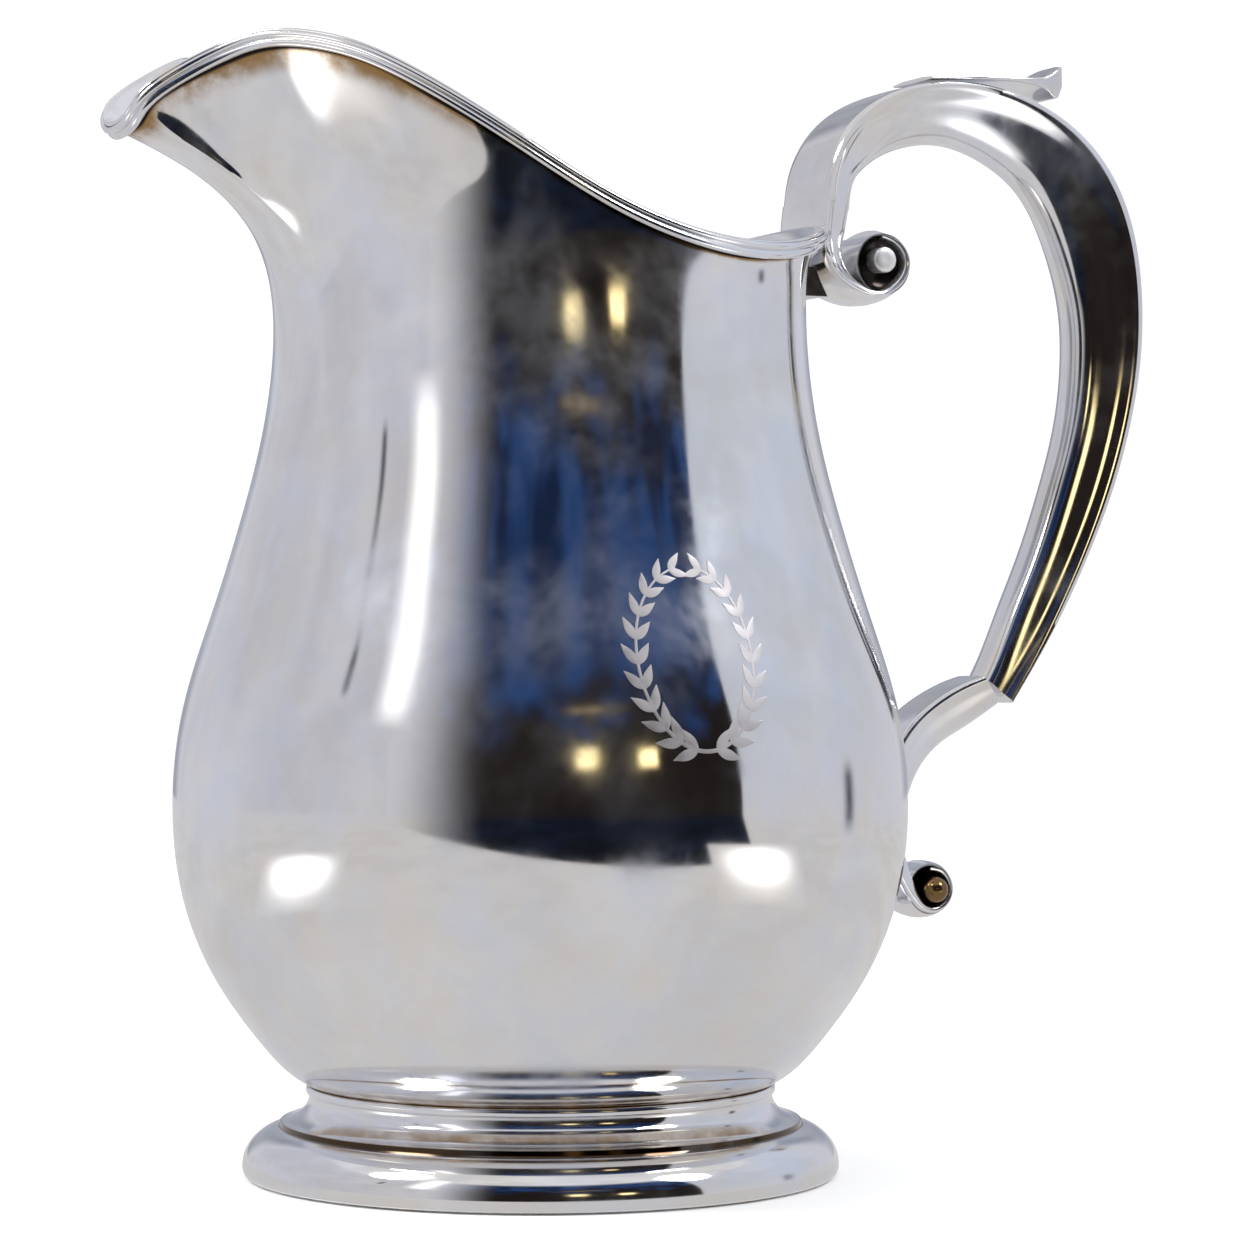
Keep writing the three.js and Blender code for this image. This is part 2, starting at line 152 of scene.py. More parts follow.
def soft_step(ends, values):
    """0 up to the first of two ends, 1 from the second on, and a soft change between."""
    return eased((values - ends[0]) / (ends[1] - ends[0]))


def between(ends, share):
    """The number that lies at a share of the way between two ends."""
    return ends[0] + (ends[1] - ends[0]) * share


# ---- meshes ----


def mesh_piece(name, points, faces, material, sharp_degrees=38.0, stain_and_painted_shade=None):
    """A mesh piece of the pitcher. Its last argument is a number for each point that darkens it:
    real stains, painted shade and painted dark reflections.
    """
    points = (np.array(points, float) + [AXIS_X, 0, 0]) / 1000
    mesh = bpy.data.meshes.new(name)
    mesh.from_pydata([tuple(p) for p in points], [], faces)
    if stain_and_painted_shade is not None:
        layer = mesh.attributes.new("stain_and_painted_shade", "FLOAT", "POINT")
        layer.data.foreach_set("value", np.array(stain_and_painted_shade, np.float32))
    shape = bmesh.new()
    shape.from_mesh(mesh)
    bmesh.ops.remove_doubles(shape, verts=shape.verts, dist=MERGE_DISTANCE)
    bmesh.ops.recalc_face_normals(shape, faces=shape.faces)
    shape.to_mesh(mesh)
    shape.free()
    mesh.shade_smooth()
    mesh.set_sharp_from_angle(angle=math.radians(sharp_degrees))
    mesh.materials.append(material)
    piece = bpy.data.objects.new(name, mesh)
    bpy.context.scene.collection.objects.link(piece)
    return piece


def loft(sections, closed=False):
    """Points and faces of a skin over sections, each a ring of as many points."""
    sections = np.array(sections, float)
    count, ring = sections.shape[:2]
    faces = []
    for i in range(count if closed else count - 1):
        here, there = i * ring, ((i + 1) % count) * ring
        for k in range(ring):
            after = (k + 1) % ring
            faces.append((here + k, here + after, there + after, there + k))
    if not closed:
        faces.append(tuple(range(ring - 1, -1, -1)))
        faces.append(tuple(range((count - 1) * ring, count * ring)))
    return sections.reshape(-1, 3), faces


def turned(outline, around=FOOT_AROUND):
    """Points and faces of a closed outline of [radius, height] turned around +Z."""
    sections = []
    for angle in np.linspace(0, 2 * math.pi, around, endpoint=False):
        cosine, sine = math.cos(angle), math.sin(angle)
        sections.append([(r * cosine, r * sine, z) for r, z in outline])
    return loft(sections, closed=True)


def across(points, centre_x, centre_z, side):
    """Points turned around +Z, laid over so that +Z points to the side given by a sign of Y."""
    x, y, z = np.array(points, float).T
    return np.stack([x + centre_x, side * z, y + centre_z], axis=1)


# ---- the mouth and its pouring lip ----

# The edge of the wall from the tip of the spout along the +Y side to the back. Each row: x, y
# and z of the edge; how far around from the spout its wall leaves the neck, in degrees; how
# far the wall leans out at the edge, in degrees from upright; and the share of the height
# over which the wall stays upright.
RIM = [
    [-89.8, 0, 204.0, 0, 70, 0.69],
    [-89.2, 6.2, 205.4, 7, 64, 0.69],
    [-87.2, 10.0, 209.4, 13, 52, 0.67],
    [-80.6, 12.0, 214.4, 18, 40, 0.65],
    [-73.8, 15.0, 218.2, 23, 36, 0.62],
    [-66.6, 21.2, 220.6, 29.5, 34, 0.58],
    [-57.8, 31.0, 219.0, 38, 24, 0.55],
    [-47.6, 40.6, 213.5, 47.5, 19, 0.56],
    [-31.0, 49.2, 202.4, 62, 14, 0.58],
    [-11.6, 53.2, 190.6, 79, 10, 0.62],
    [7.0, 53.8, 183.9, 97.5, 12, 0.68],
    [24.0, 50.2, 182.3, 115.5, 22, 0.72],
    [39.4, 40.6, 184.6, 134, 32, 0.74],
    [51.2, 23.9, 188.4, 155, 38, 0.75],
    [56.5, 0, 190.2, 180, 40, 0.75],
]
RIM_LOOP = 2 * (len(RIM) - 1)
WALL_SHARES = [0.30, 0.55, 0.76, 0.89, 1.0]     # where the smooth wall meets its guide curve
OUTWARD_PULL = 2.0           # keeps the wall leaning outwards where its edge hardly overhangs


def rim_row(index):
    """The row at any whole place around the mouth; the -Y side mirrors the +Y side."""
    turns, step = divmod(index, RIM_LOOP)
    if step < len(RIM):
        x, y, z, around, lean, upright = RIM[step]
        return [x, y, z, around + 360 * turns, lean, upright]
    x, y, z, around, lean, upright = RIM[RIM_LOOP - step]
    return [x, -y, z, 360 - around + 360 * turns, lean, upright]


WRAP = 8                     # rows added beyond each end, so that the loop closes smoothly
RIM_PLACES = range(-WRAP, RIM_LOOP + WRAP + 1)
rim_at = smooth([rim_row(index) for index in RIM_PLACES], list(RIM_PLACES))


def heading(around):
    """A horizontal direction, given how far around from the spout it points, in degrees."""
    angle = math.radians(180 - around)
    return np.array([math.cos(angle), math.sin(angle), 0.0])


def away_from_mouth(place):
    """The horizontal direction at right angles to the edge, away from the mouth."""
    nearby = 0.05
    before, after = rim_at([place - nearby, place + nearby])
    away = np.array([before[1] - after[1], after[0] - before[0], 0.0])
    return away / np.linalg.norm(away)


def guide_curve(place):
    """The four control points of the wall from the neck up to the edge, at one place."""
    x, y, z, around, lean, upright = rim_at(place)[0]
    edge = np.array([x, y, z])
    outward = heading(around)
    neck = outward * NECK_RADIUS + UP * NECK_HEIGHT
    flat = (edge - neck) * [1, 1, 0]
    overhang = np.linalg.norm(flat)
    lean = math.radians(lean)
    leaning = flat + OUTWARD_PULL * outward
    leaning = leaning / np.linalg.norm(leaning) + away_from_mouth(place)
    rising = leaning / np.linalg.norm(leaning) * math.sin(lean) + UP * math.cos(lean)
    reach = min(np.linalg.norm(edge - neck) / 3, overhang / math.sin(lean))
    turn_point = neck + UP * upright * (z - NECK_HEIGHT)
    return neck, turn_point, edge - reach * rising, edge


def on_guide(controls, t):
    """The point at a share t of a guide curve."""
    a, b, c, d = controls
    s = 1 - t
    return s**3 * a + 3 * s * s * t * b + 3 * s * t * t * c + t**3 * d


def places_around(count):
    """Places around the mouth, spread by both the angle on the neck and the edge's length."""
    steps_each = 20
    fine = np.linspace(0, RIM_LOOP, steps_each * RIM_LOOP + 1)
    rows = rim_at(fine)
    steps = np.linalg.norm(np.diff(rows[:, :3], axis=0), axis=1) + np.diff(rows[:, 3])
    measures = np.concatenate([[0.0], np.cumsum(steps)])
    wanted = np.linspace(0, measures[-1], count, endpoint=False)
    return np.interp(wanted, measures, fine)


# ---- body ----

BODY_PROFILE = [
    [46.5, 18.4], [49.6, 20.3], [53.4, 23.8], [57.4, 28.6], [65.0, 39.8], [70.5, 53],
    [73.2, 74], [70.9, 94], [65.4, 112], [60, 129.5], [56.0, 145],
]
ROUND_KNOT = 10              # the profile point up to which the body is truly round
BOTTOM_PROFILE = [[0, 13.2], [24, 13.8], [38, 15.2], [44.6, 17.4]]


class Wall:
    """The outside of the body at one place around the mouth, from the collar to the edge."""

    def __init__(self, place):
        outward = heading(rim_at(place)[0][3])
        controls = guide_curve(place)
        points = [outward * radius + UP * height for radius, height in BODY_PROFILE]
        points += [on_guide(controls, t) for t in WALL_SHARES]
        self.outward = outward
        self.knots = lengths_along(points)
        self.curve = smooth(points, self.knots)
        self.length = self.knots[-1]

    def rows(self):
        """The points of the wall at each row of the body."""
        lower = np.linspace(0, self.knots[ROUND_KNOT], LOWER_ROWS, endpoint=False)
        upper = np.linspace(self.knots[ROUND_KNOT], self.length, UPPER_ROWS)
        return self.curve(np.concatenate([lower, upper]))

    def below_edge(self, distances):
        """The points that lie so far down the wall from its edge."""
        return self.curve(self.length - np.array(distances, float))


PLACES = places_around(AROUND)
WALLS = [Wall(place) for place in PLACES]


def normals_of(grid):
    """Outward directions of a grid of rows that each run once around the body."""
    along = np.gradient(grid, axis=0)
    around = np.roll(grid, -1, axis=1) - np.roll(grid, 1, axis=1)
    normals = np.cross(along, around)
    normals /= np.linalg.norm(normals, axis=2, keepdims=True)
    outward = grid * [1, 1, 0]
    facing = np.sign(np.sum(normals * outward, axis=(1, 2)))
    return normals * np.median(facing)


def wave(point):
    """How far the hand-raised wall stands out from a true surface at a point."""
    return WAVE_HEIGHT * noise.noise(Vector(point) / WAVE_LENGTH)


def body_grid():
    """The outside of the wall as rows of points, with its slight hand-raised waves."""
    grid = np.array([wall.rows() for wall in WALLS]).transpose(1, 0, 2)
    heights = np.array([[wave(point) for point in row] for row in grid])
    return grid + normals_of(grid) * heights[:, :, None]


BODY_GRID = body_grid()
BODY_NORMALS = normals_of(BODY_GRID)


def bottom_rows(raised):
    """The domed bottom's rows, from the axis out."""
    profile = smooth_line(BOTTOM_PROFILE, BOTTOM_ROWS - 1)
    headings = np.array([wall.outward for wall in WALLS])
    return np.array([headings * radius + UP * (height + raised) for radius, height in profile])


def edge_rows():
    """The rounded top edge of the sheet, from the outside over to the inside."""
    outside, normals = BODY_GRID[-1], BODY_NORMALS[-1]
    rising = BODY_GRID[-1] - BODY_GRID[-2]
    rising /= np.linalg.norm(rising, axis=1, keepdims=True)
    centre = outside - normals * SHEET / 2
    turns = np.linspace(0, math.pi, EDGE_ROWS + 2)[1:-1]
    return [centre + SHEET / 2 * (math.cos(a) * normals + math.sin(a) * rising) for a in turns]


SPOUT_X = (-8.0, -58.0)      # where the wall starts to be, and wholly is, the spout's
SHADOW_LINE_WIDTH = (1.3, 2.1)      # the painted shadow line under the wire, at the back and at the spout
SHADOW_LINE_FADE = 0.9
SHADOW_LINE_DARKNESS = 0.95
YELLOW_BELOW = (10.5, 4.5)   # how far below the edge the yellow stain starts, and is full
YELLOW_TARNISH = 0.6
COLLAR_SHADE_HEIGHTS = (22.0, 18.0)  # the heights at which the painted shade at the collar starts, and is full
COLLAR_SHADE = 0.5


def body_stain_and_shade(points):
    """A painted shadow line under the wire, a real yellow stain beneath it near the spout,
    and painted shade at the collar.
    """
    rim = np.array([wall.below_edge([0])[0] for wall in WALLS])
    columns = np.arange(len(points)) % AROUND
    below = np.linalg.norm(points - rim[columns], axis=1)
    at_spout = soft_step(SPOUT_X, points[:, 0])
    # Painted shadow under the wire, wider towards the spout.
    shadow_line_end = WIRE_HEIGHT + between(SHADOW_LINE_WIDTH, at_spout)
    painted_shadow_line = SHADOW_LINE_DARKNESS * eased((shadow_line_end - below) / SHADOW_LINE_FADE)
    yellow = YELLOW_TARNISH * at_spout * soft_step(YELLOW_BELOW, below)
    # Painted shade where the body meets the foot's collar.
    collar_shade = COLLAR_SHADE * soft_step(COLLAR_SHADE_HEIGHTS, points[:, 2])
    stain_and_painted_shade = np.maximum.reduce([yellow, painted_shadow_line, collar_shade])
    outside_rows = BOTTOM_ROWS + len(BODY_GRID)
    stain_and_painted_shade[outside_rows * AROUND:] = 0
    return stain_and_painted_shade


def make_body(material):
    inner = (BODY_GRID - BODY_NORMALS * SHEET)[::-1]
    rows = [*bottom_rows(0), *BODY_GRID, *edge_rows(), *inner, *bottom_rows(SHEET)[::-1]]
    points, faces = loft(rows)
    faces = faces[:-2]       # both ends lie on the axis and need no cap
    body = mesh_piece("body", points, faces, material, stain_and_painted_shade=body_stain_and_shade(points))
    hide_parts("body_shell")
    return body


# ---- rim wire ----

# Corners of the wire's section: [distance below the edge, distance out from the wall]. Its
# outer face is worked into a narrow upper bead and a wider lower one.
WIRE_CORNERS = [
    [WIRE_HEIGHT, 0.02], [0.1, 0.02], [-0.3, 0.25], [-0.35, 0.85], [0.1, 1.3], [0.75, 1.25],
    [0.95, 0.85], [1.15, 1.25], [1.6, 1.7], [2.3, 1.75], [WIRE_HEIGHT, 1.2],
]


def make_rim_wire(material):
    corners = softened(WIRE_CORNERS, 0.25, steps=3)
    sections = []
    for i, wall in enumerate(WALLS):
        middle = wall.below_edge([0.0, 1.0])
        down = (middle[1] - middle[0]) / np.linalg.norm(middle[1] - middle[0])
        normal = BODY_NORMALS[-1][i]
        edge = BODY_GRID[-1][i]
        sections.append([edge + down * below + normal * out for below, out in corners])
    wire = mesh_piece("rim_wire", *loft(sections, closed=True), material)
    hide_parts("rim_wire")
    return wire


# ---- foot ----

STEP_RADIUS = 52.0           # the crisp step between the cove and the domed flange
STEP_WIDTH = 0.7
STEP_HEIGHT = 10.0           # painted shade lies in the step above this height
STEP_SHADE = 0.9


def make_foot_pedestal(material):
    cove = [[46.2, 16.4], [46.3, 15.2], [47.1, 13.6], [48.7, 12.2], [50.5, 11.35], [51.9, 11.0]]
    dome = [
        [52.05, 10.1], [54.6, 9.3], [57.2, 7.5], [58.9, 5.0], [59.4, 2.8], [59.2, 1.1],
        [58.7, 0.45],
    ]
    inside = [
        [58.1, 0.45], [58.4, 1.4], [58.5, 2.8], [58.0, 4.6], [56.5, 6.9], [54.2, 8.5], [51.4, 9.3],
        [50.4, 10.2], [48.0, 11.5], [46.3, 13.0], [45.4, 15.0], [45.3, 16.4],
    ]
    outline = chained(cove, [cove[-1], dome[0]], dome, [dome[-1], inside[0]], inside,
                      [inside[-1], cove[0]], step=0.4)
    points, faces = turned(outline)
    from_axis = np.hypot(points[:, 0], points[:, 1])
    at_step = (np.abs(from_axis - STEP_RADIUS) < STEP_WIDTH / 2) & (points[:, 2] > STEP_HEIGHT)
    # Painted shade in the crease of the step.
    step_shade = STEP_SHADE * at_step
    pedestal = mesh_piece("foot_pedestal", points, faces, material, stain_and_painted_shade=step_shade)
    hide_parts("foot_pedestal")
    return pedestal


def make_foot_collar(material):
    corners = [[45.0, 16.4], [46.5, 16.4], [46.85, 16.8], [46.85, 17.7], [46.5, 18.3], [45.0, 17.6]]
    collar = mesh_piece("foot_collar", *turned(softened(corners, 0.3)), material)
    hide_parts("foot_collar")
    return collar


def make_foot_base_ring(material):
    corners = [[54.2, 0], [57.3, 0], [57.8, 0.5], [57.8, 1.8], [57.3, 2.3], [54.2, 2.3]]
    ring = mesh_piece("foot_base_ring", *turned(softened(corners, 0.3)), material)
    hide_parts("foot_base_ring")
    return ring


# ---- straps: the handle and its scrolls ----

# Half sections, from the middle of the outer face to the middle of the inner face: [depth, 1
# at the outer face and -1 at the inner one; share of the half width].
HANDLE_HALF = [
    [1.0, 0], [0.995, 0.45], [0.98, 0.82], [0.94, 0.975], [0.87, 1.0], [0.5, 0.93],
    [0.0, 0.855], [-0.45, 0.78], [-0.64, 0.71], [-0.82, 0.52], [-0.94, 0.27], [-1.0, 0],
]
VOLUTE_HALF = [
    [1.0, 0], [0.86, 0.35], [0.5, 0.66], [0.12, 0.88], [-0.1, 0.97], [-0.3, 1.0],
    [-0.5, 1.0], [-0.7, 1.0], [-0.85, 0.98], [-0.95, 0.9], [-1.0, 0.5], [-1.0, 0],
]
HALF_STEPS = 26              # steps along a half section


def strap_point(row, depth, share):
    """A point of a strap's section, given as a depth and a share of the half width."""
    outer_x, outer_z, inner_x, inner_z, outer_half, inner_half = row
    outer_share = (1 + depth) / 2
    half = inner_half + (outer_half - inner_half) * outer_share
    x = inner_x + (outer_x - inner_x) * outer_share
    z = inner_z + (outer_z - inner_z) * outer_share
    return [x, share * half, z]


def strap_sections(rows, steps, volute_share):
    """Sections along a strap whose own section turns from a handle's into a volute's."""
    handle, volute = np.array(HANDLE_HALF), np.array(VOLUTE_HALF)
    rows = np.array(rows, float)
    middle = (rows[:, :2] + rows[:, 2:4]) / 2
    sections = []
    for place, row in zip(np.linspace(0, 1, steps + 1), smooth_line(rows, steps, middle)):
        blend = volute_share(place)
        half = (1 - blend) * handle + blend * volute
        fine = smooth_line(half, HALF_STEPS)
        other = fine[1:-1][::-1] * [1, -1]
        outline = [*fine, *other]
        sections.append([strap_point(row, depth, share) for depth, share in outline])
    return sections


# Rows of the straps: x and z of the middle of the outer face, x and z of the middle of the inner
# face, half width of the outer face and half width of the inner one.
HANDLE = [
    [60.0, 196.8, 69.0, 195.0, 9.8, 7.6],
    [61.5, 204.6, 70.0, 200.4, 9.8, 7.6],
    [65.8, 212.2, 72.8, 203.8, 9.7, 7.6],
    [74.8, 219.0, 78.6, 207.6, 9.5, 6.8],
    [86.2, 222.4, 88.0, 210.2, 9.3, 6.0],
    [98.5, 222.8, 97.0, 209.4, 9.0, 5.7],
    [111.0, 220.0, 105.4, 206.0, 8.8, 5.8],
    [122.2, 214.2, 113.0, 200.0, 8.6, 6.3],
    [131.2, 204.8, 118.6, 190.2, 8.5, 7.0],
    [136.8, 191.4, 122.2, 179.2, 8.4, 7.3],
    [138.5, 174.5, 123.3, 168.0, 8.3, 7.2],
    [136.9, 158.5, 122.0, 154.2, 8.1, 7.0],
    [132.5, 141.8, 118.1, 139.9, 7.8, 6.8],
    [126.2, 126.4, 112.8, 125.2, 7.5, 6.6],
    [118.6, 111.6, 107.1, 112.3, 7.2, 6.3],
    [111.0, 99.4, 102.8, 102.4, 6.9, 6.0],
    [106.7, 93.1, 100.9, 98.8, 6.8, 5.9],
]

# The cast strap below the root of the handle, rolled into the upper volute.
UPPER_SCROLL = [
    [59.8, 196.85, 68.9, 195.05, 9.8, 7.6],
    [59.2, 190.6, 67.6, 189.4, 9.8, 7.8],
    [59.8, 184.8, 66.6, 184.9, 9.6, 8.0],
    [62.6, 179.6, 67.9, 181.2, 9.4, 8.0],
    [67.6, 176.6, 70.6, 179.2, 9.2, 8.0],
    [74.2, 176.0, 74.0, 178.8, 9.0, 8.0],
    [80.0, 179.0, 77.4, 180.8, 8.8, 8.0],
    [82.2, 184.6, 79.4, 184.6, 8.6, 8.0],
    [79.6, 189.8, 77.4, 188.0, 8.4, 8.0],
    [74.6, 191.6, 74.0, 189.4, 8.2, 8.0],
]
UPPER_TURN = (0.15, 0.45)    # shares of the length between which the section changes
UPPER_EYE = (74.2, 184.0)    # middle of the volute

# The cast bracket below the grip, rolled into the lower volute.
LOWER_SCROLL = [
    [100.2, 98.8, 105.5, 92.5, 5.6, 5.2],
    [95.2, 97.2, 98.8, 88.4, 5.6, 5.2],
    [87.6, 93.2, 92.2, 84.8, 5.8, 5.4],
    [80.6, 86.8, 86.8, 79.8, 6.0, 5.6],
    [76.6, 78.6, 83.8, 74.2, 6.2, 5.8],
    [75.2, 70.2, 82.2, 68.4, 6.4, 6.0],
    [75.6, 61.6, 82.0, 62.2, 6.6, 6.2],
    [78.8, 53.6, 83.2, 56.2, 6.6, 6.2],
    [82.2, 49.6, 84.8, 52.2, 6.6, 6.2],
    [87.6, 48.2, 87.4, 50.8, 6.4, 6.2],
    [92.2, 50.6, 90.4, 52.2, 6.2, 6.0],
    [93.6, 55.2, 91.2, 55.0, 6.0, 5.8],
    [91.2, 59.4, 89.4, 57.6, 5.8, 5.6],
    [87.2, 60.3, 87.0, 58.2, 5.6, 5.4],
]
LOWER_TURN = (0.5, 0.75)
LOWER_EYE = (86.7, 54.5)


def make_handle(material):
    sections = strap_sections(HANDLE, HANDLE_STEPS, lambda place: 0.0)
    handle = mesh_piece("handle", *loft(sections), material, sharp_degrees=50)
    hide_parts("handle_shell_left", "handle_shell_right")
    return handle


def make_scroll(name, rows, turning, material):
    """A scroll, whose section turns from a handle's into a volute's over a part of its length."""
    sections = strap_sections(rows, SCROLL_STEPS, lambda place: soft_step(turning, place))
    scroll = mesh_piece(name, *loft(sections), material, sharp_degrees=50)
    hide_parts(name)
    return scroll


# Outline of the dish in each end of an eye, as shares of the eye's radius and the dish's depth.
DISH = [[0, 1.0], [0.5, 0.97], [0.82, 0.62], [0.95, 0]]
# Painted shade in the dish of each eye.
DISH_SHADE = 0.93
DISH_SKIN = 0.05             # the dish is what lies deeper than this,
DISH_EDGE = 0.96             # within this share of the radius
EYE_AROUND = 72


def make_eye(name, eye, material, radius, half_width, dish):
    """The turned heart of a volute, with a dish in each end, so deep, darkened with painted shade.
    """
    bowl = [[max(NEAR_AXIS, share * radius), half_width - depth * dish] for share, depth in DISH]
    shoulder = [radius, half_width]
    near = chained(bowl, [bowl[-1], shoulder], [shoulder, [radius, 0]], step=0.3)
    profile = np.array([*near, *(near[::-1] * [1, -1])])
    points, faces = turned(profile, around=EYE_AROUND)
    from_axis = np.hypot(points[:, 0], points[:, 1])
    depth = half_width - np.abs(points[:, 2])
    in_dish = (depth > DISH_SKIN) & (from_axis < DISH_EDGE * radius)
    painted_dark = DISH_SHADE * in_dish
    return mesh_piece(name, across(points, *eye, 1), faces, material, stain_and_painted_shade=painted_dark)


# ---- bosses, thumb rest and pads ----

BUTTON_PLACE = (74.0, 184.8)
BALL_PLACE = (87.4, 54.4)
BALL_RADIUS = 2.75
BALL_OUT = 6.6               # from the middle plane of the pitcher to the ball's centre
# How dark the ball is painted, a painted dark reflection.
BALL_PAINTED_DARK = 0.84
BOSS_AROUND = 48


def make_button(name, side, material):
    """A flat button in the eye of the upper volute."""
    foot = 5.2
    flank = [[2.45, foot], [2.6, 7.6], [2.65, 9.0]]
    face = [[2.65, 9.0], [2.4, 9.5], [1.9, 9.7], [NEAR_AXIS, 9.75]]
    outline = [*chained(flank, face, step=0.25), face[-1], [NEAR_AXIS, foot]]
    points, faces = turned(outline, around=BOSS_AROUND)
    button = mesh_piece(name, across(points, *BUTTON_PLACE, side), faces, material)
    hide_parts(name)
    return button


def make_ball(name, side, material):
    """A ball on a short stem in the eye of the lower volute, darkened all over with a
    painted dark reflection.
    """
    stem = [[NEAR_AXIS, 2.6], [1.6, 2.6], [1.25, 3.9]]
    turns = np.linspace(-0.38 * math.pi, 0.5 * math.pi, 20)
    ball = [[max(NEAR_AXIS, BALL_RADIUS * math.cos(turn)), BALL_OUT + BALL_RADIUS * math.sin(turn)]
            for turn in turns]
    points, faces = turned([*stem, *ball], around=BOSS_AROUND)
    painted_dark = np.full(len(points), BALL_PAINTED_DARK)
    piece = mesh_piece(name, across(points, *BALL_PLACE, side), faces, material,
                       sharp_degrees=45, stain_and_painted_shade=painted_dark)
    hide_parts(name)
    return piece


# Each row of the thumb rest: x, height of the top, height of the underside, half width.
THUMB_REST = [
    [86.0, 223.9, 223.1, 8.2], [92.0, 224.6, 223.5, 8.2], [100.0, 225.0, 223.7, 8.0],
    [107.0, 225.2, 223.8, 7.6], [112.5, 225.5, 223.3, 7.0], [116.0, 226.4, 222.0, 6.4],
    [118.2, 227.8, 221.4, 6.0], [119.4, 228.3, 223.6, 5.4],
]
REST_DROP = 0.4              # how much lower the rest's top lies at its sides
REST_STEPS = 48


def make_thumb_rest(material):
    sections = []
    rows = np.array(THUMB_REST)
    for x, top, under, half in smooth_line(rows, REST_STEPS, rows[:, :2]):
        side_top = top - REST_DROP
        corners = [[-half, under], [-half, side_top], [-0.5 * half, top], [0.5 * half, top],
                   [half, side_top], [half, under]]
        sections.append([(x, y, z) for y, z in softened(corners, 0.35, steps=3)])
    rest = mesh_piece("thumb_rest", *loft(sections), material, sharp_degrees=50)
    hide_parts("thumb_rest")
    return rest


# Rows of the pads between the round wall and the scrolls: height, radius of the wall there, and
# how far the pad reaches from the axis.
UPPER_PAD = [[177.0, 53.6, 62.2], [180.0, 53.6, 60.6], [183.0, 53.6, 59.3]]
LOWER_PAD = [[64.5, 73.0, 75.4], [70.0, 73.2, 75.0], [76.0, 73.2, 75.8]]


def make_pad(name, rows, material, half_width):
    sideways = np.linspace(-half_width, half_width, 13)
    sections = []
    for height, radius, reach in rows:
        wall_side = [(math.sqrt(radius**2 - y * y), y) for y in sideways]
        outline = [*wall_side, (reach, half_width), (reach, -half_width)]
        sections.append([(x, y, height) for x, y in outline])
    pad = mesh_piece(name, *loft(sections), material)
    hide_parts(name)
    return pad


# ---- engraving ----

WREATH_MIDDLE = 103.0        # height of the middle of the engraved wreath
WREATH_HALF_HEIGHT = 17.0
WREATH_HALF_WIDTH = 12.0
LEAF_PAIRS = 11              # along each branch
LEAF_SHARES = (0.1, 0.96)    # where its first and last pairs grow
LEAF_TURN = 0.6              # how far a leaf turns away from its branch, in radians
LEAF_LENGTH = (5.6, 4.0)     # at the foot of the branch and at its tip
LEAF_HALF_WIDTH = (1.05, 0.75)
LEAF_STEPS = 8
BRANCH_START = -0.55         # direction of a branch's foot from the middle, in half turns
BRANCH_POINTS = 48
BRANCH_HALF_WIDTH = (0.39, 0.18)
CUT_DEPTH = 0.05
CUT_CROWN = 1.6              # how much further the middle of a cut stands than its sides

SIDE_ROWS = WALLS[AROUND // 2].curve(np.linspace(0, WALLS[0].knots[ROUND_KNOT], 400))
SIDE_RADII = np.hypot(SIDE_ROWS[:, 0], SIDE_ROWS[:, 1])


def on_side(sideways, height, out):
    """A point of the body's right side, given how far it lies from the side's middle line."""
    rise = 0.5
    radius, higher = np.interp([height, height + rise], SIDE_ROWS[:, 2], SIDE_RADII)
    slope = (higher - radius) / rise
    angle = sideways / radius
    outward = np.array([math.sin(angle), -math.cos(angle), 0.0])
    normal = (outward - slope * UP) / math.hypot(1, slope)
    return outward * radius + UP * height + normal * out


def cut_line(path, half_widths):
    """Sections of a shallow line along a path of [sideways, height] on the body's side."""
    path = np.array(path, float)
    along = np.gradient(path, axis=0)
    along /= np.linalg.norm(along, axis=1, keepdims=True)
    crosswise = np.stack([-along[:, 1], along[:, 0]], axis=1)
    sections = []
    for point, direction, half in zip(path, crosswise, half_widths):
        left, right = point - direction * half, point + direction * half
        sections.append([on_side(*left, -CUT_DEPTH), on_side(*left, CUT_DEPTH),
                         on_side(*point, CUT_CROWN * CUT_DEPTH), on_side(*right, CUT_DEPTH),
                         on_side(*right, -CUT_DEPTH)])
    return sections


def branch_point(share, side):
    """A point of one branch of the wreath, from its foot at 0 to its tip at 1."""
    angle = math.pi * (BRANCH_START + share)
    sideways = side * WREATH_HALF_WIDTH * math.cos(angle)
    return np.array([sideways, WREATH_HALF_HEIGHT * math.sin(angle) + WREATH_MIDDLE])


def leaf(foot, direction, length, half_width):
    """A pointed leaf, widest just below its middle: its middle line and its half widths."""
    tip_half_width = 0.05
    shares = np.linspace(0, 1, LEAF_STEPS + 1)
    middle = [foot + direction * length * share for share in shares]
    half_widths = half_width * np.sin(math.pi * shares**0.8)
    return middle, np.maximum(half_widths, tip_half_width)


def branch_leaves(side):
    """Pairs of leaves along one branch of the wreath."""
    leaves = []
    for share in np.linspace(*LEAF_SHARES, LEAF_PAIRS):
        foot = branch_point(share, side)
        ahead = branch_point(share + 0.02, side) - foot
        ahead /= np.linalg.norm(ahead)
        crosswise = np.array([-ahead[1], ahead[0]])
        length, half_width = between(LEAF_LENGTH, share), between(LEAF_HALF_WIDTH, share)
        for turn in (-LEAF_TURN, LEAF_TURN):
            direction = ahead * math.cos(turn) + crosswise * math.sin(turn)
            leaves.append(leaf(foot, direction, length, half_width))
    return leaves


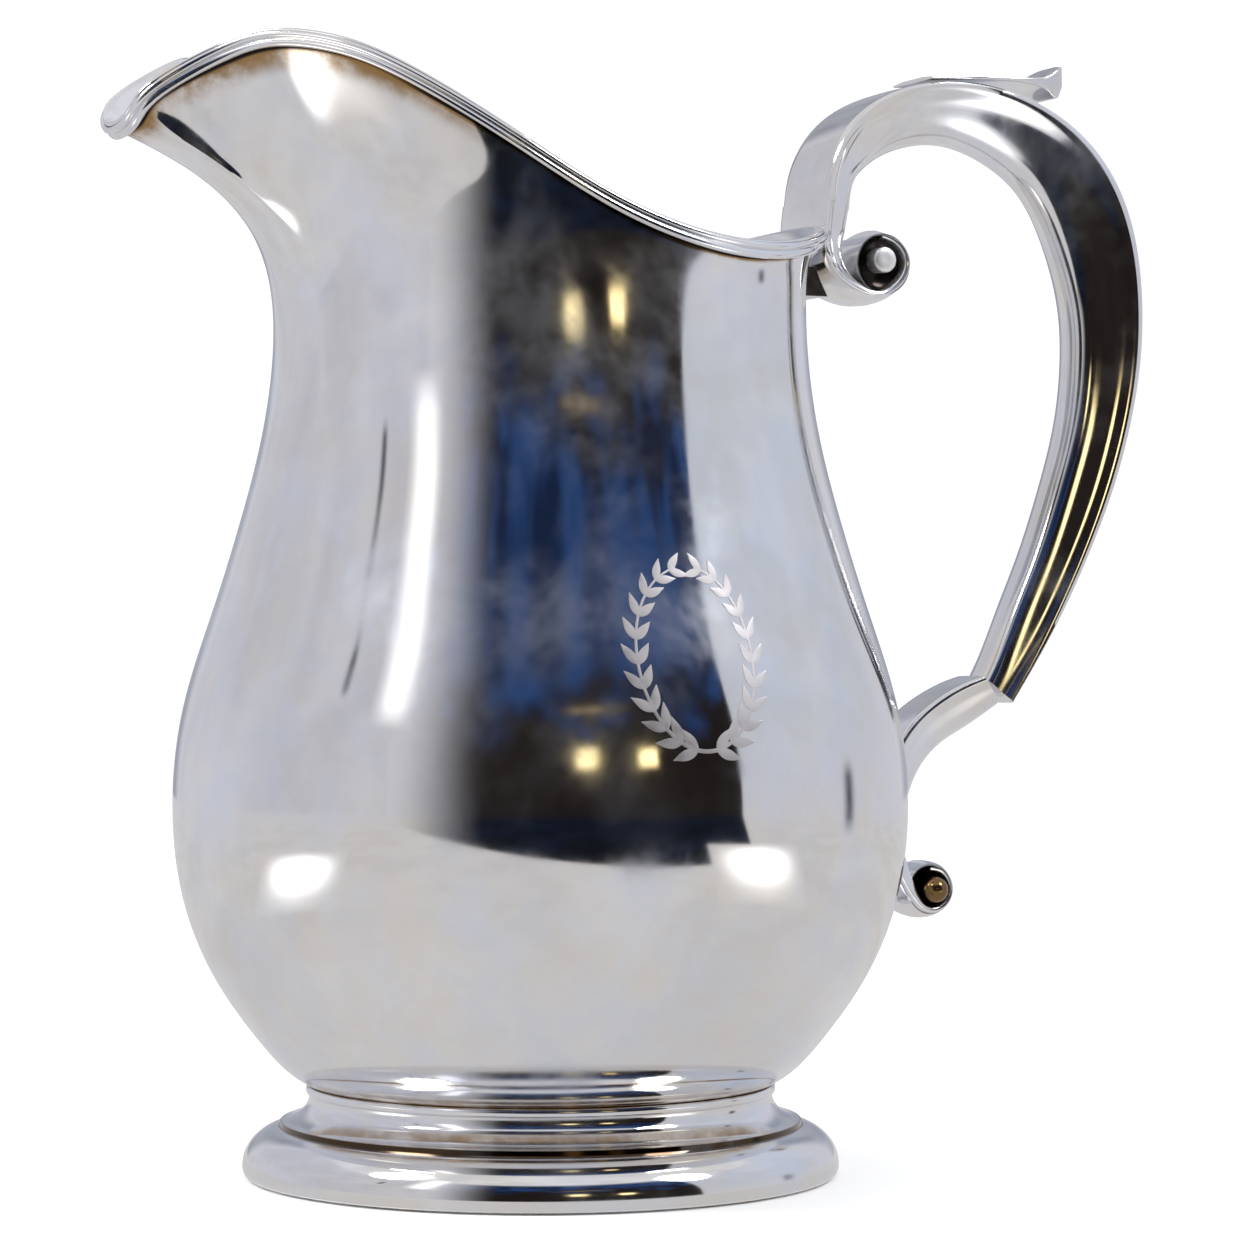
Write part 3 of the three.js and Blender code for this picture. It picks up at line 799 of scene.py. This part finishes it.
def make_engraving(material):
    """A plain leafy wreath engraved on the side of the body."""
    lines = []
    for side in (-1, 1):
        branch = [branch_point(share, side) for share in np.linspace(0, 1, BRANCH_POINTS)]
        lines.append((branch, np.linspace(*BRANCH_HALF_WIDTH, BRANCH_POINTS)))
        lines += branch_leaves(side)
    points, faces = [], []
    for middle, half_widths in lines:
        line_points, line_faces = loft(cut_line(middle, half_widths))
        faces += [tuple(corner + len(points) for corner in face) for face in line_faces]
        points += list(line_points)
    return mesh_piece("engraved_wreath", points, faces, material)


# ---- materials ----


class Shader:
    """Builds one material's nodes."""

    def __init__(self, name):
        self.material = bpy.data.materials.new(name)
        self.material.use_nodes = True
        self.tree = self.material.node_tree
        self.tree.nodes.clear()

    def plug(self, value, socket):
        """Links another node's output to a socket, or sets a plain value on it."""
        if isinstance(value, bpy.types.NodeSocket):
            self.tree.links.new(value, socket)
        else:
            socket.default_value = value

    def node(self, kind, inputs=None, **settings):
        made = self.tree.nodes.new(kind)
        for key, value in settings.items():
            setattr(made, key, value)
        for key, value in (inputs or {}).items():
            self.plug(value, made.inputs[key])
        return made

    def noise(self, coordinates, scale, detail=4.0, roughness=0.55, distortion=0.0):
        made = self.node("ShaderNodeTexNoise", {
            "Vector": coordinates, "Scale": scale, "Detail": detail,
            "Roughness": roughness, "Distortion": distortion,
        })
        return made.outputs["Fac"]

    def ramped(self, value, low, high, start=0.0, end=1.0):
        """value, changed so that low becomes start and high becomes end."""
        made = self.node("ShaderNodeMapRange", {
            "Value": value, "From Min": low, "From Max": high, "To Min": start, "To Max": end,
        }, interpolation_type="SMOOTHSTEP")
        return made.outputs["Result"]

    def math(self, operation, first, second):
        made = self.node("ShaderNodeMath", operation=operation)
        self.plug(first, made.inputs[0])
        self.plug(second, made.inputs[1])
        return made.outputs["Value"]

    def mixed(self, share, first, second):
        """A colour between two others. Inputs 6 and 7 and output 2 of the node are its colours."""
        made = self.node("ShaderNodeMix", data_type="RGBA")
        self.plug(share, made.inputs["Factor"])
        self.plug(first, made.inputs[6])
        self.plug(second, made.inputs[7])
        return made.outputs[2]

    def stretched(self, coordinates, scale, turn):
        made = self.node("ShaderNodeMapping", {
            "Vector": coordinates, "Scale": scale, "Rotation": turn,
        })
        return made.outputs["Vector"]

    def edge(self):
        """How far a stage sheet has faded: 0 on most of it, 1 at its soft edges."""
        return self.node("ShaderNodeAttribute", attribute_name="edge").outputs["Fac"]

    def finish(self, surface):
        output = self.node("ShaderNodeOutputMaterial")
        self.tree.links.new(surface, output.inputs["Surface"])
        return self.material


BRIGHT = (0.86, 0.85, 0.84, 1)
WARM = (0.80, 0.755, 0.69, 1)
COOL = (0.80, 0.82, 0.87, 1)
BROWN = (0.36, 0.22, 0.09, 1)
# Black of the painted shade and painted dark reflections.
PAINTED_SHADE_BLACK = (0.015, 0.013, 0.015, 1)

# Scales of the noises in the silver, in features per metre or so.
CLOUD_SCALE = 34
PATCH_SCALE = 70
GRAIN_SCALE = 110
STREAK_SCALES = (900, 900, 60)
HAIR_SCALES = (2600, 500, 160)
SCRATCH_DEPTH = 0.00003      # in metres
SCRATCH_STRENGTH = 0.04
CLEARER_BELOW = (0.095, 0.125)    # heights in metres between which the patina thickens


def silver(name, gloss, veil, warmth):
    """Silver with a cloudy patina, warm and cool patches, real tarnish, painted shade and painted
    dark reflections from a per-point attribute, and hairline scratches. gloss is its roughness
    where it is clean, veil how much of the metal the patina covers, and warmth how strong the
    warm patches are."""
    shader = Shader(name)
    place = shader.node("ShaderNodeTexCoord").outputs["Object"]
    clouds = shader.noise(place, CLOUD_SCALE, detail=9, roughness=0.66, distortion=0.15)
    patches = shader.noise(place, PATCH_SCALE, detail=6, roughness=0.62)
    grain = shader.noise(place, GRAIN_SCALE, detail=3, roughness=0.6)
    streaks = shader.noise(shader.stretched(place, STREAK_SCALES, (0.4, 0.2, 0.1)), 1.0, detail=3)
    hairs = shader.noise(shader.stretched(place, HAIR_SCALES, (0.9, 0.5, 1.2)), 1.0, detail=2)
    stain_and_shade_level = shader.node("ShaderNodeAttribute", attribute_name="stain_and_painted_shade").outputs["Fac"]

    haze = shader.ramped(clouds, 0.40, 0.72)
    colour = shader.mixed(shader.ramped(patches, 0.35, 0.65), BRIGHT, COOL)
    colour = shader.mixed(shader.ramped(clouds, 0.35, 0.6, warmth, 0.0), colour, WARM)
    # Brown for real stains and for painted shade; from 0.75 up the painted shade and painted dark
    # reflections turn black.
    stain_and_shade_brown = shader.math("MULTIPLY", stain_and_shade_level, shader.ramped(patches, 0.3, 0.62, 0.25, 1.0))
    colour = shader.mixed(shader.ramped(stain_and_shade_brown, 0.0, 0.6), colour, BROWN)
    colour = shader.mixed(shader.ramped(stain_and_shade_level, 0.75, 0.95), colour, PAINTED_SHADE_BLACK)

    rough = shader.ramped(clouds, 0.4, 0.72, gloss, gloss + 0.12)
    rough = shader.math("ADD", rough, shader.ramped(grain, 0.45, 0.75, 0.0, 0.03))
    height = shader.node("ShaderNodeSeparateXYZ", {"Vector": place}).outputs["Z"]
    higher = shader.ramped(height, *CLEARER_BELOW, 0.35, 1.0)
    veiled = shader.math("MULTIPLY", shader.math("MULTIPLY", haze, veil), higher)
    metal = shader.math("SUBTRACT", 1.0, veiled)
    half_streaks = shader.math("MULTIPLY", streaks, 0.5)
    half_hairs = shader.math("MULTIPLY", hairs, 0.5)
    normal = shader.node("ShaderNodeBump", {
        "Strength": SCRATCH_STRENGTH, "Distance": SCRATCH_DEPTH,
        "Height": shader.math("ADD", half_streaks, half_hairs),
    })
    surface = shader.node("ShaderNodeBsdfPrincipled", {
        "Base Color": colour, "Metallic": metal, "Roughness": rough,
        "Normal": normal.outputs["Normal"],
    })
    return shader.finish(surface.outputs["BSDF"])


def engraved_silver():
    """The matt grey bottom of an engraver's cut."""
    shader = Shader("engraved_silver")
    place = shader.node("ShaderNodeTexCoord").outputs["Object"]
    mottle = shader.noise(place, 300, detail=4)
    colour = shader.mixed(mottle, (0.50, 0.48, 0.49, 1), (0.62, 0.60, 0.60, 1))
    rough = shader.ramped(mottle, 0.3, 0.7, 0.42, 0.58)
    normal = shader.node("ShaderNodeBump", {
        "Strength": 0.3, "Distance": SCRATCH_DEPTH, "Height": mottle,
    })
    surface = shader.node("ShaderNodeBsdfPrincipled", {
        "Base Color": colour, "Metallic": 1.0, "Roughness": rough,
        "Normal": normal.outputs["Normal"],
    })
    return shader.finish(surface.outputs["BSDF"])


def floor_material():
    shader = Shader("pale_floor")
    place = shader.node("ShaderNodeTexCoord").outputs["Object"]
    mottle = shader.noise(place, 6, detail=3)
    colour = shader.mixed(mottle, (0.955, 0.955, 0.96, 1), (0.97, 0.97, 0.97, 1))
    surface = shader.node("ShaderNodeBsdfPrincipled", {"Base Color": colour, "Roughness": 0.7})
    return shader.finish(surface.outputs["BSDF"])


TABLE_GLOW = (0.67, 0.66, 0.67)
SCREEN_GLOW = (0.64, 0.645, 0.70)
BRIGHT_SCREEN_GLOW = (0.65, 0.68, 0.77)
NEAR_BLACK = (0.004, 0.004, 0.005, 1)
BROWN_BLACK = (0.026, 0.020, 0.018, 1)
ROOM_BLUE = (0.020, 0.055, 0.17, 1)
NIGHT_BLUE = (0.009, 0.018, 0.055, 1)
BLUE_ABOVE = (0.75, 1.25)    # heights in metres between which the dark room turns blue


def glow(name, colour, second, around=None, scale=1.5):
    """A card that gives off light: two colours that drift into each other, and a third that
    takes over towards its soft edges."""
    shader = Shader(name)
    place = shader.node("ShaderNodeTexCoord").outputs["Object"]
    drift = shader.ramped(shader.noise(place, scale, detail=3), 0.4, 0.6)
    mixed = shader.mixed(drift, colour + (1,), second + (1,))
    if around is not None:
        mixed = shader.mixed(shader.edge(), mixed, around + (1,))
    surface = shader.node("ShaderNodeEmission", {"Color": mixed, "Strength": 1.0})
    return shader.finish(surface.outputs["Emission"])


def dark_room():
    """A dark room: nearly black low down and blue higher up, with a ragged change between."""
    shader = Shader("dark_room")
    place = shader.node("ShaderNodeTexCoord").outputs["Object"]
    ragged = shader.noise(place, 2.2, detail=6, roughness=0.6)
    folds = shader.noise(place, 3.0, detail=4)
    height = shader.node("ShaderNodeSeparateXYZ", {"Vector": place}).outputs["Z"]
    level = shader.math("ADD", height, shader.ramped(ragged, 0.3, 0.7, -0.4, 0.4))
    low = shader.mixed(folds, NEAR_BLACK, BROWN_BLACK)
    high = shader.mixed(shader.ramped(folds, 0.42, 0.6), ROOM_BLUE, NIGHT_BLUE)
    colour = shader.mixed(shader.ramped(level, *BLUE_ABOVE), low, high)
    colour = shader.mixed(shader.edge(), colour, SCREEN_GLOW + (1,))
    surface = shader.node("ShaderNodeEmission", {"Color": colour, "Strength": 1.0})
    return shader.finish(surface.outputs["Emission"])


# ---- the studio ----

VIEW_TURN = math.radians(25)           # the camera stands this far round towards the spout
CAMERA_DISTANCE = 785.0
CAMERA_HEIGHT = 107.0
AIM_RIGHT, AIM_UP = 16.0, 3.2          # where the picture's middle lies, from the body's axis
LENS = 113.8
FLOOR_RADIUS = 6000.0
LAMP_SIZE = 0.5              # in metres
LAMPS_AIM = (AXIS_X / 1000, 0, 0.1)    # in metres

# The two soft lamps: name, direction, distance and height in the room, and power in watts.
LAMPS = [("key_left", -75, 1100, 1300, 14), ("key_right", 70, 1200, 1200, 9)]

# What the silver reflects: directions in degrees, distances and heights in millimetres.
DARK_TURNS = (-47, 62.5)     # between these directions the room behind the camera is dark
CARPET_EDGE = 320.0          # how near its straight edge comes to the body's axis
CARPET_FACING = 30.0         # the direction in which it lies nearest
CARPET_END = 2000.0
TABLE_REACH = (58.9, 2300)   # from the foot's flange
TABLE_LEVEL = 0.3            # what lies flat lies at its own level, so that none hides another
CARPET_LEVEL = 2.0
LIGHT_POOL_LEVEL = 3.0
ROOM_TOP = 2100
CARD_FOOT = -5               # cards start just under the table's level, so that no gap shows
SCREEN_DISTANCE = 2200
LAMP_DISTANCE = 1800
STAND_DISTANCE = 1300
SOFT_LEFT = 0.28             # share of the width over which the dark room fades on its left
SOFT_ALL = (0.5, 0.5, 0.5, 0.5)
SOFT_LAMP = (0.2, 0.2, 0.3, 0.3)
SOFT_STAND = (0.5, 0.5, 0.3, 0.3)


def in_room(turn_degrees, distance, height):
    """A point around the pitcher, its direction measured from the camera's towards the handle."""
    angle = math.radians(turn_degrees) - VIEW_TURN
    return Vector(((AXIS_X + distance * math.sin(angle)) / 1000,
                   -distance * math.cos(angle) / 1000, height / 1000))


def stage_sheet(name, corner_at, material, columns, rows=8, soft=(0, 0, 0, 0)):
    """A bent sheet that isn't part of the pitcher. soft gives the shares of its width and
    height over which its left, right, lower and upper edges fade."""
    points, faces, edges = [], [], []
    for i in range(columns + 1):
        for k in range(rows + 1):
            s, t = i / columns, k / rows
            points.append(tuple(corner_at(s, t)))
            inner = 1.0
            for reach, share in zip((s, 1 - s, t, 1 - t), soft):
                inner *= eased(reach / share) if share else 1.0
            edges.append(1 - inner)
    for i in range(columns):
        for k in range(rows):
            here = i * (rows + 1) + k
            faces.append((here, here + 1, here + rows + 2, here + rows + 1))
    mesh = bpy.data.meshes.new(name)
    mesh.from_pydata(points, [], faces)
    mesh.attributes.new("edge", "FLOAT", "POINT").data.foreach_set("value", edges)
    mesh.materials.append(material)
    mesh.shade_smooth()
    sheet = bpy.data.objects.new(name, mesh)
    bpy.context.scene.collection.objects.link(sheet)
    return sheet


def only_reflected(sheet):
    """Leaves a sheet to be seen in the silver alone."""
    sheet.visible_camera = False
    sheet.visible_diffuse = False
    sheet.visible_shadow = False


def reflected_card(name, turns, heights, distance, material, soft=(0, 0, 0, 0)):
    """An upright card bent around the pitcher."""
    only_reflected(stage_sheet(
        name, lambda s, t: in_room(between(turns, s), distance, between(heights, t)),
        material, columns=max(12, round((turns[1] - turns[0]) / 2)), soft=soft))


def reflected_mat(name, turns, distances, height, material, soft=(0, 0, 0, 0)):
    """A flat card low over the floor, or high above it."""
    only_reflected(stage_sheet(
        name, lambda s, t: in_room(between(turns, s), between(distances, t), height),
        material, columns=max(12, round((turns[1] - turns[0]) / 2)), soft=soft))


def make_floor():
    stage_sheet("floor", lambda s, t: in_room(360 * s, FLOOR_RADIUS * t, 0), floor_material(),
                columns=90)


def make_carpet(material):
    """A dark carpet that starts at a straight edge in front of the pitcher."""
    def corner_at(s, t):
        turn = between(DARK_TURNS, s)
        near = CARPET_EDGE / math.cos(math.radians(turn - CARPET_FACING))
        return in_room(turn, between((near, CARPET_END), t), CARPET_LEVEL)

    only_reflected(stage_sheet("carpet", corner_at, material, columns=55,
                               soft=(SOFT_LEFT, 0, 0, 0)))


def make_reflections():
    """What stands around the camera, painted as glowing cards that are seen only as reflections
    in the silver.
    """
    around, room = (-180, 180), (CARD_FOOT, ROOM_TOP)
    table = glow("table_glow", TABLE_GLOW, (0.62, 0.61, 0.62), SCREEN_GLOW, scale=6)
    ceiling = glow("ceiling_glow", (0.80, 0.80, 0.82), (0.70, 0.70, 0.74))
    screen = glow("screen_glow", SCREEN_GLOW, (0.57, 0.575, 0.63), scale=0.8)
    bright_screen = glow("bright_screen_glow", BRIGHT_SCREEN_GLOW, (0.59, 0.62, 0.70),
                         SCREEN_GLOW, scale=0.8)
    back = glow("back_glow", (0.42, 0.44, 0.50), (0.30, 0.32, 0.38), SCREEN_GLOW)
    reflected_mat("table_around", around, TABLE_REACH, TABLE_LEVEL, table, (0, 0, 0, 0.93))
    reflected_mat("ceiling", around, (0, TABLE_REACH[1]), ROOM_TOP, ceiling)
    reflected_card("screen_left", (-150, -20), room, SCREEN_DISTANCE, screen)
    reflected_card("screen_right", (60, 150), room, SCREEN_DISTANCE, bright_screen,
                   (0, 0.2, 0.35, 0))
    reflected_card("back_wall", (150, 210), room, 2100, back, (0.2, 0.2, 0, 0))

    carpet = glow("dark_carpet", (0.005, 0.007, 0.012), (0.008, 0.012, 0.028), TABLE_GLOW,
                  scale=5)
    make_carpet(carpet)
    reflected_card("dark_wall", DARK_TURNS, (0, ROOM_TOP), 2000, dark_room(),
                   (SOFT_LEFT, 0, 0, 0.14))

    gold = glow("lamp_glow", (2.6, 2.1, 1.1), (1.9, 1.5, 0.7), (0.05, 0.03, 0.015), scale=9)
    dim_gold = glow("dim_lamp_glow", (0.5, 0.42, 0.26), (0.3, 0.22, 0.12), (0.03, 0.02, 0.015),
                    scale=9)
    softbox = glow("softbox_glow", (1.7, 1.7, 1.75), (1.5, 1.5, 1.55), SCREEN_GLOW)
    light_pool = glow("light_pool_glow", (3.4, 3.4, 3.4), (3.0, 3.0, 3.0), TABLE_GLOW)
    streak = glow("stand_glow", (0.04, 0.045, 0.07), (0.07, 0.07, 0.10), SCREEN_GLOW)
    reflected_card("lamp_left", (10, 18), (350, 560), LAMP_DISTANCE, gold, SOFT_LAMP)
    reflected_card("lamp_right", (29, 36), (350, 540), LAMP_DISTANCE, gold, SOFT_LAMP)
    reflected_card("lamp_bar", (6, 30), (840, 930), LAMP_DISTANCE, dim_gold, (0.3, 0.5, 0.5, 0.5))
    reflected_card("softbox_left", (-56, -41), (620, 2090), 1700, softbox, (0.5, 0.4, 0.15, 0.1))
    # Painted pools of lamplight on the table, seen only in the silver.
    reflected_mat("light_pool_left", (-88, -56), (180, 440), LIGHT_POOL_LEVEL, light_pool, SOFT_ALL)
    reflected_mat("light_pool_right", (48, 80), (190, 520), LIGHT_POOL_LEVEL, light_pool, SOFT_ALL)
    reflected_card("stand_high", (-69, -65), (600, 860), STAND_DISTANCE, streak, SOFT_STAND)
    reflected_card("stand_left", (-76, -71), (960, 1900), STAND_DISTANCE, streak,
                   (0.5, 0.5, 0.3, 0.1))
    reflected_card("stand_right", (101, 109), (0, 150), 700, streak, SOFT_STAND)


def make_lights():
    world = bpy.data.worlds.new("studio")
    world.use_nodes = True
    background = world.node_tree.nodes["Background"]
    background.inputs["Color"].default_value = (0.97, 0.98, 1.0, 1)
    background.inputs["Strength"].default_value = 1.1
    bpy.context.scene.world = world
    for name, turn, distance, height, power in LAMPS:
        data = bpy.data.lights.new(name, "AREA")
        data.shape = "DISK"
        data.size = LAMP_SIZE
        data.energy = power
        lamp = bpy.data.objects.new(name, data)
        lamp.location = in_room(turn, distance, height)
        aim = Vector(LAMPS_AIM) - lamp.location
        lamp.rotation_euler = aim.to_track_quat("-Z", "Y").to_euler()
        bpy.context.scene.collection.objects.link(lamp)


def make_camera():
    data = bpy.data.cameras.new("camera")
    data.sensor_width = 36.0
    data.lens = LENS
    data.clip_start = 0.05
    camera = bpy.data.objects.new("camera", data)
    camera.location = in_room(0, CAMERA_DISTANCE, CAMERA_HEIGHT)
    right = Vector((math.cos(VIEW_TURN), -math.sin(VIEW_TURN), 0))
    aim = Vector((AXIS_X / 1000, 0, (CAMERA_HEIGHT + AIM_UP) / 1000)) + right * AIM_RIGHT / 1000
    camera.rotation_euler = (aim - camera.location).to_track_quat("-Z", "Y").to_euler()
    bpy.context.scene.collection.objects.link(camera)
    bpy.context.scene.camera = camera


# ---- assembly ----


def make_pitcher():
    polished = silver("polished_silver", gloss=0.06, veil=0.06, warmth=0.5)
    cast = silver("cast_silver", gloss=0.10, veil=0.15, warmth=0.7)
    rubbed = silver("rubbed_silver", gloss=0.42, veil=0.3, warmth=0.7)
    polished_pieces = [
        make_body(polished), make_rim_wire(polished), make_foot_pedestal(polished),
        make_foot_collar(polished), make_foot_base_ring(polished), make_handle(polished),
        make_engraving(engraved_silver()),
    ]
    cast_pieces = [
        make_scroll("upper_scroll", UPPER_SCROLL, UPPER_TURN, cast),
        make_scroll("lower_scroll", LOWER_SCROLL, LOWER_TURN, cast),
        make_eye("upper_eye", UPPER_EYE, cast, radius=6.3, half_width=8.1, dish=2.6),
        make_eye("lower_eye", LOWER_EYE, cast, radius=5.2, half_width=5.9, dish=2.2),
        make_thumb_rest(cast),
        make_pad("upper_pad", UPPER_PAD, cast, half_width=6),
        make_pad("lower_pad", LOWER_PAD, cast, half_width=5),
    ]
    for side, word in ((-1, "right"), (1, "left")):
        cast_pieces.append(make_button(f"upper_boss_{word}", side, rubbed))
        cast_pieces.append(make_ball(f"lower_boss_{word}", side, cast))
    for pieces, slot in ((polished_pieces, "polished_silver"), (cast_pieces, "cast_silver")):
        for piece in pieces:
            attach(piece, "root")


make_pitcher()
make_floor()
make_reflections()
make_lights()
make_camera()
bpy.context.scene.view_settings.view_transform = "Standard"
